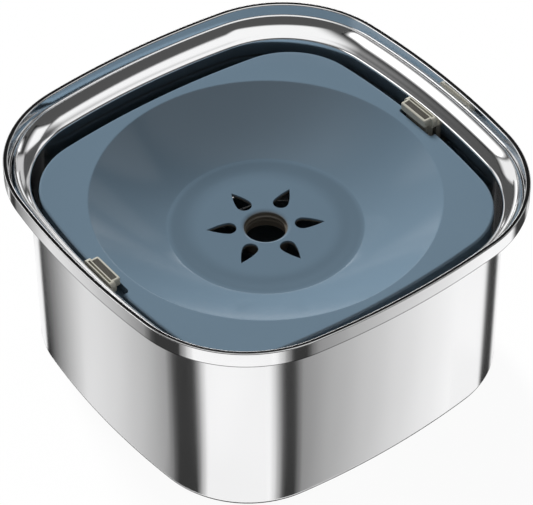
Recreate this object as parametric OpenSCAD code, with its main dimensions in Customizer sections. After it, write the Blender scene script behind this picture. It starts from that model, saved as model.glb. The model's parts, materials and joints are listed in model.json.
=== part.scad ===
// No-spill pet bowl: a steel bowl with a floating drinking tray held together by two sliding clips.
// Millimetres. The origin is under the middle of the bowl, +Z is up, the clips are on the X sides.

/* [Bowl] */
// Width of the bowl across two opposite rim sides
bowl_w = 240; // [210:1:290]
// Height from the floor to the top of the rim
bowl_h = 126; // [105:1:160]
// Corner radius of the rim, seen from above
corner_r = 69.4; // [60:0.1:80]
// How far each side bulges beyond a straight one
side_bow = 3; // [2:0.1:6]
// Thickness of the steel sheet
sheet_t = 0.8; // [0.6:0.1:1]
// Height of the upright rim band, outside
band_h = 9; // [8:0.5:12]
// Thickness of the rolled top edge
hem_t = 2.6; // [2.4:0.1:3.2]
// Height of the rim's inner face above the ledge
rim_face_h = 6.9; // [5:0.1:9]
// How far the rim's inner face leans in
rim_lean = 0.9; // [0.3:0.1:1.5]
// Step from the rim's outside in to the wall's outside
wall_in = 12.6; // [11:0.1:16]
// Drop of the sloping ledge
ledge_drop = 9; // [6:0.1:11]
// Outside radius of the bottom edge
base_r = 4.5; // [3:0.1:7]
// Width of the flat ring that the bottom edge stands on
base_ring = 14; // [10:0.5:20]
// Stamped rise of the base inside that ring
base_rise = 1.5; // [1:0.1:3]

/* [Feet] */
// Radius of a rubber foot
foot_r = 9; // [6:0.5:12]
// How far a foot stands out below the steel
foot_proud = 1; // [0.5:0.1:2]
// Distance of a foot's middle from the rounded corner of the raised base
foot_in = 20.8; // [14:0.1:24]

/* [Float] */
// Depth of the float's top below the rim, as it floats in the photo
float_drop = 20.1; // [18:0.1:24]
// Corner radius of the float
float_corner_r = 42; // [36:1:46]
// How far each float side bulges beyond a straight one
float_bow = 3.8; // [2.5:0.1:5]
// Wall thickness of the float's shells
float_t = 2; // [1.6:0.1:2.4]
// Height of the float from its top to its underside
float_h = 33; // [32:0.5:40]
// Height of the upper shell's skirt
skirt_h = 10; // [9.5:0.1:13]
// Thickness of the upper shell's skirt
skirt_t = 2.6; // [2.4:0.1:3]
// Rounding of the float's top edge
float_edge_r = 1.2; // [0.6:0.1:1.6]
// Narrowest flat border around the drinking dish
dish_border = 6; // [5.5:0.1:9]
// Depth of the dish's slope
dish_depth = 21.3; // [16:0.1:22]
// Radius of the sunk plate in the middle of the dish
plate_r = 52.3; // [46:0.1:56]
// Drop of the sunk plate below the slope's end
plate_drop = 3.3; // [2:0.1:3.6]
// Width of the rounded step down to the sunk plate
step_w = 7; // [5:0.1:9]
// Height of the gentle wave in the sunk plate
ripple = 0.35; // [0:0.05:0.5]
// How far the dish's slope sags below a straight one
dish_dip = 5; // [2:0.1:6]
// Thickness of the lower shell's clamping flange
flange_t = 2.4; // [2:0.1:3]

/* [Flow holes] */
// Radius of the round hole in the middle
hole_r = 11.4; // [8:0.1:12]
// Number of leaf-shaped holes
petal_count = 6; // [4:1:8]
// Radius at which a leaf hole's round end begins
petal_in = 15.5; // [15:0.1:17]
// Radius of a leaf hole's tip
petal_tip = 30.5; // [26:0.1:34]
// Greatest width of a leaf hole
petal_w = 8.2; // [6:0.1:9]

/* [Seals] */
// Thickness of the outline gasket
outer_seal_t = 1.6; // [1.2:0.1:2]
// Width of the outline gasket
outer_seal_w = 2; // [1.6:0.1:2.2]
// Thickness of the well gasket
inner_seal_t = 1.4; // [1:0.1:1.8]
// Width of the well gasket
inner_seal_w = 2.6; // [2:0.1:3]

/* [Clips] */
// Length of a clip's block
clip_l = 20.4; // [16:0.2:26]
// Length of a clip's outer flange
clip_flange_l = 24.6; // [20:0.2:30]
// Width of a clip's block, from its inner face to the float's edge
clip_in = 2.7; // [2.2:0.1:3.2]
// Height of a clip's block above the float's top
clip_up = 4.5; // [3:0.1:6]
// Height of the outer flange above the float's top
clip_flange_up = 5.2; // [4:0.1:7]
// Height of the outer flange's wide part
clip_ear_h = 6.7; // [5:0.1:8]
// Travel of a clip from locked to open
clip_travel = 5.2; // [4.6:0.1:6]
// Depth of the notch that a clip slides in
notch_d = 6; // [4:0.1:6.4]
// Depth of the recess that a grip pad lies in
pad_recess = 1.4; // [1:0.1:2]
// Thickness of a grip pad
pad_t = 0.9; // [0.6:0.1:1.2]

/* [Fits] */
// Gap between the float's clip sides and the bowl's wall
gap_x = 4.6; // [4.2:0.1:8]
// Gap between the float's plain sides and the bowl's wall
gap_y = 8.1; // [4:0.1:10]
// Gap between a clip's flange and the bowl's wall
clip_wall_gap = 0.8; // [0.5:0.1:1.2]
// Sliding gap between a clip and the float
clip_gap = 0.4; // [0.3:0.05:0.5]
// Gap between the two float shells where they nest
nest_gap = 0.6; // [0.3:0.05:0.8]
// Gap around a grip pad
pad_gap = 0.05; // [0:0.01:0.1]

/* [Colours] */
// Steel
steel_col = "#c9cbcd";
// Float shells
float_col = "#647a8a";
// Clips
clip_col = "#a5a398";
// Grip pads
pad_col = "#55524c";
// Rubber
rubber_col = "#2a2b2d";

/* [Hidden] */
$fn = 96;

// Bowl
rim_a = bowl_w / 2;
rim_p = rim_a - corner_r - side_bow;
wall_face = wall_in + sheet_t;
hem_r = hem_t / 2;
base_z = foot_proud;
raised_in = wall_in + base_ring + base_rise;
foot_at = rim_p + (corner_r - raised_in - foot_in) * cos(45);
sweep_in = 48;
lap = 6;

// Float
float_a = rim_a - wall_face - gap_x;
float_b = rim_a - wall_face - gap_y;
float_p = float_a - float_corner_r - float_bow;
float_q = float_b - float_corner_r - float_bow;
float_z = bowl_h - float_drop;
dish_r = float_b - dish_border;
plate_z = dish_depth + plate_drop;
skin_t = float_t * 1.15;
boss_z = plate_z - 0.4;
boss_r = plate_r + 2.5;
boss_w = inner_seal_w + 1;
seal_z = skirt_h + outer_seal_t;
flange_z = seal_z + flange_t;
tongue_up = 3;
pan_r = 6;
tube_t = 1.6;
tube_end = float_h - 0.8;
border_in = 32;
pan_in = 36;

// Clips
clip_face = float_a - clip_in;
clip_out = float_a + gap_x - clip_wall_gap;
clip_stem = float_a + clip_gap;
notch_face = clip_face - 1.5;
notch_lo = -clip_l / 2 - clip_travel - 2 * clip_gap;
notch_hi = clip_l / 2 + clip_gap;
pocket_t = 2;
rail_u = float_a - 1.6;
rail_w = 1;
rail_h = 1;
hook_l = clip_travel - 0.2;
hook_at = clip_l * 0.32;
hook_t = 2;
hook_z = flange_z + clip_gap;

// Points of an arc that rounds the corner at b, between a and c
function unit(v) = v / norm(v);
function turn(a, b, c) = acos(max(-1, min(1, unit(b - a) * unit(c - b))));
function round_at(a, b, c, r, n) =
    let (t = turn(a, b, c))
    (r < 0.05 || t < 2) ? [b] :
    let (d = r * tan(t / 2),
         p = b - unit(b - a) * d,
         q = b + unit(c - b) * d,
         m = unit(unit(a - b) + unit(c - b)),
         o = b + m * (r / cos(t / 2)),
         s = unit(p - o),
         e = unit(q - o),
         w = t)
    [for (i = [0 : n]) o + r * (s * sin(w * (1 - i / n)) + e * sin(w * i / n)) / sin(w)];

// A path of points [x, y, radius] with its corners rounded
function xy(v) = [v[0], v[1]];
function rounded(v, n) =
    [for (i = [0 : len(v) - 1])
        each (i == 0 || i == len(v) - 1) ? [xy(v[i])] :
            round_at(xy(v[i - 1]), xy(v[i]), xy(v[i + 1]), v[i][2], n)];

// The same path moved sideways by t, its radii changed to suit
function left_of(a, b) = let (u = unit(b - a)) [-u[1], u[0]];
function crosses(a, b, c) = (b[0] - a[0]) * (c[1] - b[1]) - (b[1] - a[1]) * (c[0] - b[0]);
function beside(v, t) =
    [for (i = [0 : len(v) - 1])
        let (a = xy(v[max(i - 1, 0)]), b = xy(v[i]), c = xy(v[min(i + 1, len(v) - 1)]))
        i == 0 ? concat(b + left_of(b, c) * t, [0]) :
        i == len(v) - 1 ? concat(b + left_of(a, b) * t, [0]) :
        let (m = left_of(a, b) + left_of(b, c),
             g = 2 * t / (m * m))
        concat(b + m * g, [max(0, v[i][2] - sign(crosses(a, b, c)) * t)])];

function flip(v) = [for (i = [len(v) - 1 : -1 : 0]) v[i]];

// Moves its children by x and y in three steps, so that long numbers keep all their digits
function mils(v) = floor((v - floor(v)) * 1000) / 1000;
module shift(x, y) {
    translate([floor(x), floor(y), 0])
        translate([mils(x), mils(y), 0])
            translate([x - floor(x) - mils(x), y - floor(y) - mils(y), 0])
                children();
}

// Carries a profile [offset, height] around a rounded rectangle with bulging sides
module around(a, b, p, q, r) {
    dx = a - p;
    dy = b - q;
    side_x = (dx * dx + q * q - r * r) / (2 * (dx - r));
    side_y = (dy * dy + p * p - r * r) / (2 * (dy - r));
    tx = round(atan2(q, p - a + side_x) * 100) / 100;
    ty = round(atan2(q - b + side_y, p) * 100) / 100;
    rx = r + q / sin(tx);
    ry = r + p / cos(ty);
    for (s = [0, 180])
        rotate([0, 0, s]) {
            shift(p - q / tan(tx), 0)
                rotate_extrude(angle = 2 * tx, start = -tx)
                    shift(rx, 0) children();
            shift(p, q)
                rotate_extrude(angle = ty - tx, start = tx)
                    shift(r, 0) children();
            shift(0, q - p * tan(ty))
                rotate_extrude(angle = 180 - 2 * ty, start = ty)
                    shift(ry, 0) children();
            shift(-p, q)
                rotate_extrude(angle = ty - tx, start = 180 - ty)
                    shift(r, 0) children();
        }
}

module around_rim() {
    around(rim_a, rim_a, rim_p, rim_p, corner_r) children();
}

module around_float() {
    around(float_a, float_b, float_p, float_q, float_corner_r) children();
}

// Wet side of the steel sheet, from the band's lower edge over the rim and down to the base
steel_line = [
    [0, bowl_h - band_h, 0],
    [0, bowl_h, hem_r],
    [-hem_t, bowl_h, hem_r * 0.98],
    [-hem_t - rim_lean, bowl_h - rim_face_h, 2.2],
    [-wall_face, bowl_h - rim_face_h - ledge_drop, 3],
    [-wall_face, base_z + sheet_t, base_r - sheet_t],
    [-wall_in - base_ring, base_z + sheet_t, 1.5],
    [-raised_in, base_z + base_rise + sheet_t, 1.5],
    [-sweep_in, base_z + base_rise + sheet_t, 0]];

module bowl_shell() {
    color(steel_col) {
        around_rim()
            polygon(concat(rounded(steel_line, 5), flip(rounded(beside(steel_line, sheet_t), 5))));
        translate([0, 0, base_z + base_rise + sheet_t / 2])
            cube([2 * (rim_a - sweep_in + lap), 2 * (rim_a - sweep_in + lap), sheet_t], center = true);
    }
}

module foot(sx, sy) {
    color(rubber_col)
        translate([sx * foot_at, sy * foot_at, 0])
            cylinder(r1 = foot_r - 0.6, r2 = foot_r, h = base_z + base_rise);
}

module foot_front_left() {
    foot(-1, -1);
}

module foot_front_right() {
    foot(1, -1);
}

module foot_back_left() {
    foot(-1, 1);
}

module foot_back_right() {
    foot(1, 1);
}

// Upper side of the dish: a hollow slope, a rounded step and the sunk plate
function slope(t) =
    let (a = [dish_r, 0],
         c = [plate_r, -dish_depth],
         m = (a + c) / 2 + [-0.47, -0.88] * dish_dip)
    a * (1 - t) * (1 - t) + m * 2 * t * (1 - t) + c * t * t;
function plate(r) =
    -plate_z + ripple * cos((r - hole_r) / (plate_r - step_w - hole_r) * 360 + 180);
dish_line = concat(
    [for (i = [0 : 12]) slope(i / 12)],
    [for (k = [0.25, 0.5, 0.75, 1])
        [plate_r - step_w * k, -dish_depth - (plate_drop + ripple) * (1 - cos(k * 180)) / 2]],
    [for (k = [0.2 : 0.2 : 0.81])
        let (r = plate_r - step_w + (hole_r + 1.5 - plate_r + step_w) * k) [r, plate(r)]]);

module petal(r0, r1, w) {
    h = w / 2;
    l = r1 - r0 - h;
    round_end = [for (i = [1 : 6]) [r0 + h - h * cos(i * 15), h * sin(i * 15)]];
    taper = [for (i = [1 : 6]) let (t = i / 7) [r0 + h + l * t, h * (1 - pow(t, 1.5))]];
    side = concat(round_end, taper);
    polygon(concat([[r0, 0]], side, [[r1, 0]], [for (v = flip(side)) [v[0], -v[1]]]));
}

module tray_body() {
    difference() {
        around_float()
            polygon(concat(
                [[-border_in, 0]],
                round_at([-border_in, 0], [0, 0], [0, -skirt_h], float_edge_r, 4),
                [[0, -skirt_h], [-skirt_t, -skirt_h], [-skirt_t, -float_t], [-border_in, -float_t]]));
        translate([0, 0, -float_t - 1])
            cylinder(r = dish_r + 1, h = float_t + 2);
    }
    rotate_extrude()
        polygon(concat(
            [[dish_r + 2, 0]],
            dish_line,
            [[hole_r + 0.8, -plate_z], [hole_r, -plate_z - 0.8], [hole_r, -tube_end],
             [hole_r + tube_t, -tube_end], [hole_r + tube_t, -plate_z - skin_t]],
            flip([for (v = dish_line) if (v[0] > hole_r + tube_t + 1 && v[0] < dish_r) [v[0], v[1] - skin_t]]),
            [[dish_r + 2, -float_t]]));
    rotate_extrude()
        translate([boss_r - boss_w / 2, -boss_z])
            square([boss_w, boss_z - dish_depth]);
    for (s = [0, 1])
        mirror([s, 0, 0])
            translate([notch_face - pocket_t, notch_lo - pocket_t, -notch_d - pocket_t])
                cube([float_a - skirt_t / 2 - notch_face + pocket_t, notch_hi - notch_lo + 2 * pocket_t,
                      notch_d + pocket_t - float_t / 2]);
}

module float_tray() {
    color(float_col)
        translate([0, 0, float_z]) {
            difference() {
                tray_body();
                for (s = [0, 1])
                    mirror([s, 0, 0])
                        translate([notch_face, notch_lo, -notch_d])
                            cube([float_a - notch_face + 5, notch_hi - notch_lo, notch_d + 5]);
                for (i = [0 : petal_count - 1])
                    rotate([0, 0, 90 + i * 360 / petal_count])
                        translate([0, 0, -plate_z - 6])
                            linear_extrude(10)
                                petal(petal_in, petal_tip, petal_w);
            }
            for (s = [0, 1])
                mirror([s, 0, 0])
                    translate([rail_u, notch_lo - 0.5, -notch_d - 0.5])
                        cube([rail_w, notch_hi - notch_lo + 1, rail_h + 0.5]);
        }
}

module float_pan() {
    wall_o = -skirt_t - nest_gap;
    pan_line = [
        [wall_o, -seal_z + tongue_up, 0],
        [wall_o, -float_h, pan_r],
        [-pan_in, -float_h, 0]];
    well_r = boss_r - float_t / 2;
    color(float_col)
        translate([0, 0, float_z]) {
            difference() {
                union() {
                    around_float()
                        polygon(concat(rounded(pan_line, 6), flip(rounded(beside(pan_line, -float_t), 6))));
                    around_float()
                        translate([wall_o - 0.5, -flange_z])
                            square([-wall_o + 0.5, flange_t]);
                }
                for (s = [0, 1], h = [-1, 1])
                    mirror([s, 0, 0])
                        translate([float_a + wall_o + 0.1, h * hook_at - clip_travel - hook_l / 2 - clip_gap,
                                   -flange_z - 1])
                            cube([8, hook_l + 2 * clip_gap, flange_t + 2]);
            }
            difference() {
                translate([0, 0, -float_h + float_t / 2])
                    cube([2 * (float_a - pan_in + 10), 2 * (float_b - pan_in + 10), float_t], center = true);
                translate([0, 0, -float_h - 1])
                    cylinder(r = well_r, h = float_t + 2);
            }
            rotate_extrude()
                translate([well_r, -float_h])
                    square([float_t, float_h - boss_z - inner_seal_t]);
        }
}

module outer_seal() {
    color(rubber_col)
        translate([0, 0, float_z])
            around_float()
                translate([-skirt_t / 2 - outer_seal_w / 2, -seal_z])
                    square([outer_seal_w, outer_seal_t]);
}

module inner_seal() {
    color(rubber_col)
        translate([0, 0, float_z - boss_z - inner_seal_t])
            rotate_extrude()
                translate([boss_r - inner_seal_w / 2, 0])
                    square([inner_seal_w, inner_seal_t]);
}

// A plate across X, from x0 to x1, its corners rounded
module slab(x0, x1, l, z0, z1, r) {
    translate([x0, 0, (z0 + z1) / 2])
        rotate([90, 0, 90])
            linear_extrude(x1 - x0) {
                square([l - 2 * r, z1 - z0], center = true);
                square([l, z1 - z0 - 2 * r], center = true);
                for (sx = [-1, 1], sy = [-1, 1])
                    translate([sx * (l / 2 - r), sy * ((z1 - z0) / 2 - r)])
                        circle(r);
            }
}

// An upright block with rounded corners
module block(x0, x1, l, z0, z1, r) {
    translate([(x0 + x1) / 2, 0, z0])
        linear_extrude(z1 - z0) {
            square([x1 - x0, l - 2 * r], center = true);
            square([x1 - x0 - 2 * r, l], center = true);
            for (sx = [-1, 1], sy = [-1, 1])
                translate([sx * ((x1 - x0) / 2 - r), sy * (l / 2 - r)])
                    circle(r);
        }
}

pad_x0 = clip_face + 0.9;
pad_x1 = clip_stem + 0.6;
pad_l = clip_l - 3;
groove_x0 = (pad_x1 + clip_out) / 2 - 0.4;

module clip() {
    difference() {
        union() {
            block(clip_face, clip_stem + 1.6, clip_l, -notch_d + clip_gap, clip_up, 1.2);
            slab(clip_stem + 0.4, clip_out, clip_flange_l, clip_flange_up - clip_ear_h, clip_flange_up, 2.4);
            translate([clip_stem, -clip_l / 2 + 1, -hook_z - hook_t])
                cube([clip_out - clip_stem - 0.6, clip_l - 2, hook_z + hook_t + 1]);
            for (h = [-1, 1])
                translate([float_a - skirt_t - nest_gap + clip_gap, h * hook_at - hook_l / 2, -hook_z - hook_t])
                    cube([clip_out - float_a + 1, hook_l, hook_t]);
        }
        translate([pad_x0, -pad_l / 2, clip_up - pad_recess])
            cube([pad_x1 - pad_x0, pad_l, pad_recess + 5]);
        translate([groove_x0, -clip_l / 2 + 0.6, clip_flange_up - 1.5])
            cube([0.8, clip_l - 1.2, 5]);
        translate([rail_u - clip_gap, -clip_l, -notch_d - 1])
            cube([rail_w + 2 * clip_gap, 2 * clip_l, rail_h + clip_gap + 1]);
    }
}

module clip_pad() {
    translate([pad_x0 + pad_gap, -pad_l / 2 + pad_gap, clip_up - pad_recess])
        cube([pad_x1 - pad_x0 - 2 * pad_gap, pad_l - 2 * pad_gap, pad_t]);
}

module left_clip() {
    color(clip_col)
        translate([0, 0, float_z])
            mirror([1, 0, 0]) clip();
}

module left_clip_pad() {
    color(pad_col)
        translate([0, 0, float_z])
            mirror([1, 0, 0]) clip_pad();
}

module right_clip() {
    color(clip_col)
        translate([0, 0, float_z]) clip();
}

module right_clip_pad() {
    color(pad_col)
        translate([0, 0, float_z]) clip_pad();
}

bowl_shell();
foot_front_left();
foot_front_right();
foot_back_left();
foot_back_right();
float_tray();
float_pan();
outer_seal();
inner_seal();
left_clip();
left_clip_pad();
right_clip();
right_clip_pad();
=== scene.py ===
"""Dresses a no-spill pet bowl: a steel bowl, a floating drinking tray and the float's two clips."""

import json
import math

import bmesh
import bpy
from bpy.props import FloatProperty, FloatVectorProperty, IntProperty, PointerProperty
from mathutils import Matrix, Vector

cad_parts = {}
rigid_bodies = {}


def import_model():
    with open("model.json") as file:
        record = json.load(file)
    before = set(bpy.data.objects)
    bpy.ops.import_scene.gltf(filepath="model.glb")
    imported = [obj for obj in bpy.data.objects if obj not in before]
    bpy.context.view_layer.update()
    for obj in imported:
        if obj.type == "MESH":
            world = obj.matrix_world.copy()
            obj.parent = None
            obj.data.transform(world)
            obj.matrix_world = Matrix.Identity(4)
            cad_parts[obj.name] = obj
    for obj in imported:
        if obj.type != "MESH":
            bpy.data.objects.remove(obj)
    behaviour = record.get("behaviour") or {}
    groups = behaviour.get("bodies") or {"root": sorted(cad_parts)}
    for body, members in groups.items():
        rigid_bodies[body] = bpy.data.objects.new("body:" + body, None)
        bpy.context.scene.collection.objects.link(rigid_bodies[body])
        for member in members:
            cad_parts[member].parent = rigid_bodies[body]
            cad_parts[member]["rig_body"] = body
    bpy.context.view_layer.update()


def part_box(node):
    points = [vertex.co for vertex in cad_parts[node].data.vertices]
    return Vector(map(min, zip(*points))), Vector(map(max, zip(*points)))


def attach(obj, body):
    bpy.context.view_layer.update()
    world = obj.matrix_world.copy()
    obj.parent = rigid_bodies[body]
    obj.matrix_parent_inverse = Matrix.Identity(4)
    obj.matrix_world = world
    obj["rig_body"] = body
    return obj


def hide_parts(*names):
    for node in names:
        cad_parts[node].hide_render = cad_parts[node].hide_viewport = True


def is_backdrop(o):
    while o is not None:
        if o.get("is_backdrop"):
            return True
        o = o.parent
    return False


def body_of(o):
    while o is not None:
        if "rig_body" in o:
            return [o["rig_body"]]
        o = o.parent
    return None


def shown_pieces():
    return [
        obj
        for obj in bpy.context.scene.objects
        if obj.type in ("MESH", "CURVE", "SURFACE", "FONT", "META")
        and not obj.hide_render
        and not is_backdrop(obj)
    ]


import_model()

bl_info = {
    "name": "No-spill pet bowl",
    "version": (1, 0, 0),
    "blender": (4, 5, 0),
    "location": "View3D > Sidebar > Pet bowl",
    "description": "Models a steel pet bowl with a floating drinking tray and two sliding clips",
    "category": "Add Mesh",
}

MM = 0.001
# How far the corners of an edge or of a flat face may lie from the level that they are picked by.
NEAR = 0.01 * MM
FLAT = 0.001 * MM
# The least upward part of a level face's normal.
UP = 0.9999
BOWL_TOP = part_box("bowl_shell")[1]
TRAY_BOTTOM, TRAY_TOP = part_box("float_tray")
PAN_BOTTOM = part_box("float_pan")[0]
OUTER_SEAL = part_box("outer_seal")
INNER_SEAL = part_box("inner_seal")
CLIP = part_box("right_clip")
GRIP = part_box("right_clip_pad")
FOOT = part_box("foot_back_right")
# The solid clip's inner face, a thin wall away from its pad.
CLIP_FACE = GRIP[0].x - 0.95 * MM
# Where a clip's two hooks sit, as a share of its block's length.
HOOK_PLACE = 0.32
WHITE = (1, 1, 1, 1)
DARK_CARD = 0.04

# Each panel round the bowl: its name, direction and half width in degrees, the heights of its foot and
# head, its brightness, and where on -0.5 to 0.5 of its height it starts to fade and has fully risen.
WALL_PANELS = (
    ("left", 143.5, 25.0, 0.08, 1.15, 3.0, -0.05, 0.25),
    ("low_left", 91.0, 31.0, 0.05, 0.42, 1.2, 0.0, -0.4),
    ("right", 18.0, 16.0, 0.2, 0.67, 0.6, 0.3, -0.4),
    ("low_right", 19.0, 33.0, 0.05, 0.42, 1.2, 0.0, -0.4),
    ("far", 53.0, 19.0, 0.41, 0.6, 3.0, 0.4, -0.4),
    ("far_dark", 53.0, 24.0, 0.72, 1.29, 0.012, 0.4, -0.4),
    ("corner_left", 108.0, 14.0, 0.05, 1.0, 0.9, 0.2, -0.4),
    ("corner_right", -9.0, 18.0, 0.45, 1.29, 1.0, 0.35, -0.1),
)
# Each dark card: its name, the wall's directions where it starts, is darkest from and to, and ends, and
# its tone at the start and the end.
FLOOR_FLAGS = (
    ("left_edge", (165, 168.5, 172.5, 178), 1, 0.78),
    ("left_face", (178, 195, 205.5, 212), 0.78, 1),
    ("right_face", (243, 252.5, 257, 275.5), 1, 1),
    ("right_edge", (286, 291, 300, 306), 1, 1),
)


def length(name, description, millimetres):
    """A size that a user can change, given in millimetres."""
    size = millimetres * MM
    return FloatProperty(name=name, description=description, default=size, unit="LENGTH", precision=5)


def angle(name, description, degrees):
    """An angle that a user can change, given in degrees."""
    turn = math.radians(degrees)
    return FloatProperty(name=name, description=description, default=turn, subtype="ANGLE")


def colour(name, description, rgb):
    """A colour that a user can change, as linear red, green and blue."""
    kind = {"size": 3, "subtype": "COLOR", "min": 0, "max": 1}
    return FloatVectorProperty(name=name, description=description, default=rgb, **kind)


def amount(name, description, value):
    """A plain number that a user can change."""
    return FloatProperty(name=name, description=description, default=value, precision=3)


def count(name, description, number, least, most):
    """A whole number that a user can change."""
    return IntProperty(name=name, description=description, default=number, min=least, max=most)


class SteelBowlSizes(bpy.types.PropertyGroup):
    """Sizes of the steel bowl and its feet."""

    half_width: length("Half width", "From the middle to the rim's outside", BOWL_TOP.x / MM - 0.002)
    height: length("Height", "From the floor to the top of the rim", BOWL_TOP.z / MM)
    corner_radius: length("Corner radius", "Corner radius of the rim, from above", 69.4)
    side_bow: length("Side bow", "How far each side bulges beyond a straight one", 3.0)
    sheet: length("Sheet", "Thickness of the steel sheet", 0.8)
    band: length("Band", "Height of the upright band outside the rim", 9.0)
    hem: length("Hem", "Thickness of the rolled top edge", 2.6)
    rim_face: length("Rim face", "Height of the rim's inner face above the ledge", 6.9)
    rim_lean: length("Rim lean", "How far the rim's inner face leans in", 0.28)
    wall_step: length("Wall step", "From the rim's outside in to the wall's wet side", 13.4)
    ledge_drop: length("Ledge drop", "Drop of the coved ledge", 9.0)
    bead: length("Bead", "Width of the pressed line at the ledge's head", 0.9)
    bottom_radius: length("Bottom radius", "Inside radius of the bottom edge", 3.7)
    standing_ring: length("Standing ring", "Width of the flat ring inside the bottom edge", 13.2)
    base_rise: length("Base rise", "Stamped rise of the base inside that ring", 1.5)
    foot_height: length("Foot height", "Height of the steel above the floor", 1.0)
    foot_groove: length("Foot groove", "Depth of the rings in a foot's sole", 0.5)


class FloatSizes(bpy.types.PropertyGroup):
    """Sizes of the drinking tray, the lower shell and the seals between them."""

    half_x: length("Half width", "From the middle to a clip side", 102.0)
    half_y: length("Half depth", "From the middle to a plain side", 98.5)
    top: length("Top", "Height of the tray's flat border above the floor", TRAY_TOP.z / MM)
    corner_radius: length("Corner radius", "Corner radius of the float", 42.0)
    side_bow: length("Side bow", "How far each side bulges beyond a straight one", 3.8)
    shell: length("Shell", "Wall thickness of the mouldings", 2.0)
    skirt: length("Skirt", "Height of the tray's skirt", 10.0)
    skirt_wall: length("Skirt wall", "Thickness of the tray's skirt", 2.6)
    edge_radius: length("Edge radius", "Rounding of the tray's top edge", 1.5)
    dish_radius: length("Dish radius", "Radius of the drinking dish at its edge", 92.5)
    dish_edge: length("Dish edge", "Rounding of the dish's edge", 1.6)
    dish_depth: length("Dish depth", "Depth of the dish's slope", 21.3)
    dish_sag: length("Dish sag", "How far the slope's guide point lies down and in from its middle", 5.0)
    plate_radius: length("Plate radius", "Radius of the sunk plate", 52.3)
    plate_drop: length("Plate drop", "Drop of the sunk plate below the slope's end", 0.6)
    ring_radius: length("Ring radius", "Radius of the shallow groove inside the plate's edge", 42.5)
    ring_depth: length("Ring depth", "Depth of that groove below the plate", 0.08)
    hole_radius: length("Hole radius", "Radius of the hole in the middle", 11.4)
    tube_wall: length("Tube wall", "Wall thickness of the tube below that hole", 1.6)
    leaf_count: count("Leaf holes", "Number of leaf-shaped holes", 6, 3, 8)
    leaf_start: length("Leaf start", "Radius where a leaf hole's round end begins", 15.5)
    leaf_tip: length("Leaf tip", "Radius of a leaf hole's tip", 31.0)
    leaf_width: length("Leaf width", "Greatest width of a leaf hole", 8.2)
    notch_depth: length("Notch depth", "Depth of the notch that a clip slides in", 6.0)
    notch_gap: length("Notch gap", "From the solid clip's inner face to the notch's wall", 1.5)
    nest: length("Nest", "From the float's outline in to the lower shell's wall", 3.2)
    pan_radius: length("Pan radius", "Rounding of the lower shell's bottom edge", 6.0)
    flange: length("Flange", "Thickness of the lower shell's clamping flange", 2.4)


class ClipSizes(bpy.types.PropertyGroup):
    """Sizes of a sliding clip and its grip pad."""

    block_length: length("Block length", "Length of a clip's block", 20.4)
    block_height: length("Block height", "Height of the block above the tray", 5.4)
    flange_height: length("Flange height", "Height of the outer flange's wide part", 6.7)
    travel: length("Travel", "Travel of a clip from locked to open", 5.2)
    corner: length("Corner", "Rounding of the block's upright corners", 1.2)
    ear: length("Ear", "Rounding of the flange's ears", 2.4)
    softening: length("Softening", "Rounding of the moulded edges", 0.35)
    groove: length("Groove", "Width of the groove behind the grip", 1.1)
    grip_more: length("Grip margin", "How much wider the grip is on each side than its solid", 0.35)
    recess: length("Recess", "Depth of the recess for the grip pad", 1.4)
    ribs: count("Ribs", "Number of ribs across a grip pad", 21, 5, 40)


class BowlFinishes(bpy.types.PropertyGroup):
    """Colours of the finishes."""

    steel: colour("Steel", "Polished steel sheet", (0.92, 0.92, 0.925))
    slate: colour("Slate", "Slate-blue moulding of the float", (0.130, 0.190, 0.245))
    # The flow-hole colour is painted shade: the dark that the tray takes below its plate, inside the holes
    # and the tube.
    flow_hole: colour("Flow hole", "Stained moulding inside the flow holes", (0.110, 0.098, 0.080))
    clip_grey: colour("Clip grey", "Warm grey moulding of the clips", (0.460, 0.448, 0.385))
    grip_brown: colour("Grip brown", "Dark grip pads", (0.140, 0.132, 0.115))
    rubber: colour("Rubber", "Feet and seals", (0.030, 0.030, 0.033))


class StudioSettings(bpy.types.PropertyGroup):
    """The camera, the lamp and the floor."""

    turn: angle("Turn", "How far the camera stands to the left of the front", 36.812)
    lift: angle("Lift", "How far the camera stands above the horizon", 43.466)
    roll: angle("Roll", "How far the camera is tipped to the right", 0.326)
    distance: length("Distance", "From the camera to the aim point", 1462.393)
    aim_height: length("Aim height", "Height of the aim point", 63.0)
    aim_right: length("Aim right", "Side step of the aim", 0.301)
    aim_up: length("Aim up", "Upward step of the aim, square to the view", 1.047)
    lens: amount("Lens", "Focal length in millimetres on a 36 mm sensor", 185.876)
    sky: amount("Sky", "Strength of the even light from all around", 0.40)
    surround: amount("Surround", "Brightness of the dark room that the steel mirrors", 0.085)
    key: amount("Key", "Strength of the key lamp behind the bowl", 4.55)
    key_turn: angle("Key turn", "Direction of the key lamp, counted from the right side", 79.0)
    key_lift: angle("Key lift", "Height of the key lamp above the horizon", 29.5)
    floor_glow: amount("Floor glow", "Share of the floor that shows plain white", 0.94)


def select_only(piece):
    """Leaves one piece selected and active, in object mode."""
    if bpy.context.object and bpy.context.object.mode != "OBJECT":
        bpy.ops.object.mode_set(mode="OBJECT")
    bpy.ops.object.select_all(action="DESELECT")
    if piece:
        piece.select_set(True)
        bpy.context.view_layer.objects.active = piece


def edit(piece):
    """Opens a piece in edit mode with all of it selected."""
    select_only(piece)
    bpy.ops.object.mode_set(mode="EDIT")
    bpy.ops.mesh.select_all(action="SELECT")


def close_edit():
    """Goes back to object mode."""
    bpy.ops.object.mode_set(mode="OBJECT")


def named(name):
    """The object that was added last, under a name."""
    piece = bpy.context.object
    piece.name = piece.data.name = name
    return piece


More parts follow.
